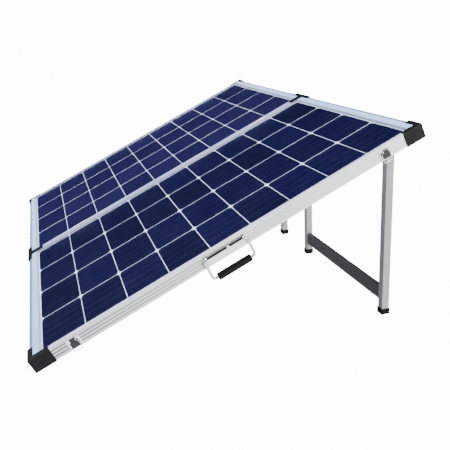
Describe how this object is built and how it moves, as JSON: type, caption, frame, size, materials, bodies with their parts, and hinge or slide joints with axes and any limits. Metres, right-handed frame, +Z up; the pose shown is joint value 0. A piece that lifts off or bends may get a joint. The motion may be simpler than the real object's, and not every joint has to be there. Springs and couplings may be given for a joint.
{
  "type": "folding solar suitcase kit",
  "caption": "Folding solar kit: two framed panels joined by hinges, propped on fold-out leg frames, with latches, a carrying handle and a charge controller.",
  "frame": {"origin": "middle of the footprint, on the ground", "axes": "+X across the two panels from the far one to the near one with the handle, +Y from the low end towards the legs, +Z up"},
  "size_m": [1.3488, 0.9462, 0.4988],
  "materials": {
    "anodised_aluminium": "satin anodised",
    "leg_aluminium": "satin",
    "dark_crossbar": "dark grey, satin",
    "glass": "low-iron, clear",
    "solar_cells": "dark blue silicon cells on a white backsheet",
    "black_plastic": "moulded, fine grain",
    "grey_plastic": "moulded",
    "black_rubber": "matte",
    "grip_rubber": "matte",
    "chrome": "bright plated",
    "zinc_steel": "zinc plated",
    "display": "liquid-crystal window"
  },
  "bodies": {
    "near_panel": {"controller_case": "black_plastic", "controller_screen": "display", "handle_plate": "chrome", "high_hinge_near_leaf": "zinc_steel", "high_hinge_pin": "zinc_steel", "high_latch_plate": "chrome", "low_hinge_near_leaf": "zinc_steel", "low_hinge_pin": "zinc_steel", "low_latch_plate": "chrome", "near_cell_sheet": "solar_cells", "near_glass": "glass", "near_high_end_rail": "anodised_aluminium", "near_inner_high_protector": "black_plastic", "near_inner_low_protector": "black_plastic", "near_inner_side_rail": "anodised_aluminium", "near_junction_box": "black_plastic", "near_junction_lid": "black_plastic", "near_left_leg_bolt": "zinc_steel", "near_leg_brace": "anodised_aluminium", "near_low_end_rail": "anodised_aluminium", "near_outer_high_protector": "black_plastic", "near_outer_low_protector": "black_plastic", "near_outer_side_rail": "anodised_aluminium", "near_right_leg_bolt": "zinc_steel"},
    "far_panel": {"far_cell_sheet": "solar_cells", "far_glass": "glass", "far_high_end_rail": "anodised_aluminium", "far_inner_high_protector": "black_plastic", "far_inner_low_protector": "black_plastic", "far_inner_side_rail": "anodised_aluminium", "far_junction_box": "black_plastic", "far_junction_lid": "black_plastic", "far_left_leg_bolt": "zinc_steel", "far_leg_brace": "anodised_aluminium", "far_low_end_rail": "anodised_aluminium", "far_outer_high_protector": "black_plastic", "far_outer_low_protector": "black_plastic", "far_outer_side_rail": "anodised_aluminium", "far_right_leg_bolt": "zinc_steel", "high_hinge_far_leaf": "zinc_steel", "high_keeper": "chrome", "low_hinge_far_leaf": "zinc_steel", "low_keeper": "chrome"},
    "near_leg_frame": {"near_left_foot": "black_rubber", "near_left_leg": "leg_aluminium", "near_leg_crossbar": "dark_crossbar", "near_right_foot": "black_rubber", "near_right_leg": "leg_aluminium"},
    "far_leg_frame": {"far_left_foot": "black_rubber", "far_left_leg": "leg_aluminium", "far_leg_crossbar": "dark_crossbar", "far_right_foot": "black_rubber", "far_right_leg": "leg_aluminium"},
    "handle": {"handle_bail": "chrome", "handle_grip": "grip_rubber"},
    "low_latch_lever": {"low_latch_lever": "black_plastic"},
    "low_latch_loop": {"low_latch_loop": "chrome"},
    "high_latch_lever": {"high_latch_lever": "black_plastic"},
    "high_latch_loop": {"high_latch_loop": "chrome"},
    "controller_button": {"controller_button": "grey_plastic"}
  },
  "joints": [
    {"name": "panel_fold", "type": "hinge", "parent": "near_panel", "child": "far_panel", "pos_m": [-0.00585, -0.47032, 0.03519], "axis": [0, 0.8942, 0.4478], "range_deg": [0, 180]},
    {"name": "near_leg_fold", "type": "hinge", "parent": "near_panel", "child": "near_leg_frame", "pos_m": [0.63295, 0.39158, 0.44017], "axis": [-1, 0, 0], "range_deg": [0, 66.6]},
    {"name": "far_leg_fold", "type": "hinge", "parent": "far_panel", "child": "far_leg_frame", "pos_m": [-0.03365, 0.39158, 0.44017], "axis": [-1, 0, 0], "range_deg": [0, 66.6]},
    {"name": "handle_swing", "type": "hinge", "parent": "near_panel", "child": "handle", "pos_m": [0.66545, -0.02779, 0.24135], "axis": [0, -0.8942, -0.4478], "range_deg": [0, 170]},
    {"name": "low_lever_turn", "type": "hinge", "parent": "near_panel", "child": "low_latch_lever", "pos_m": [0.66295, -0.3745, 0.06941], "axis": [0, -0.8942, -0.4478], "range_deg": [0, 95]},
    {"name": "low_loop_swing", "type": "hinge", "parent": "low_latch_lever", "child": "low_latch_loop", "pos_m": [0.66175, -0.37181, 0.06405], "axis": [0, -0.8942, -0.4478], "range_deg": [0, 85]},
    {"name": "high_lever_turn", "type": "hinge", "parent": "near_panel", "child": "high_latch_lever", "pos_m": [0.66295, 0.36318, 0.43881], "axis": [0, -0.8942, -0.4478], "range_deg": [0, 95]},
    {"name": "high_loop_swing", "type": "hinge", "parent": "high_latch_lever", "child": "high_latch_loop", "pos_m": [0.66175, 0.36586, 0.43345], "axis": [0, -0.8942, -0.4478], "range_deg": [0, 85]},
    {"name": "controller_button_press", "type": "slide", "parent": "near_panel", "child": "controller_button", "axis": [0, -0.4478, 0.8942], "range_m": [0, 0.0012], "stiffness_N_per_m": 400}
  ]
}
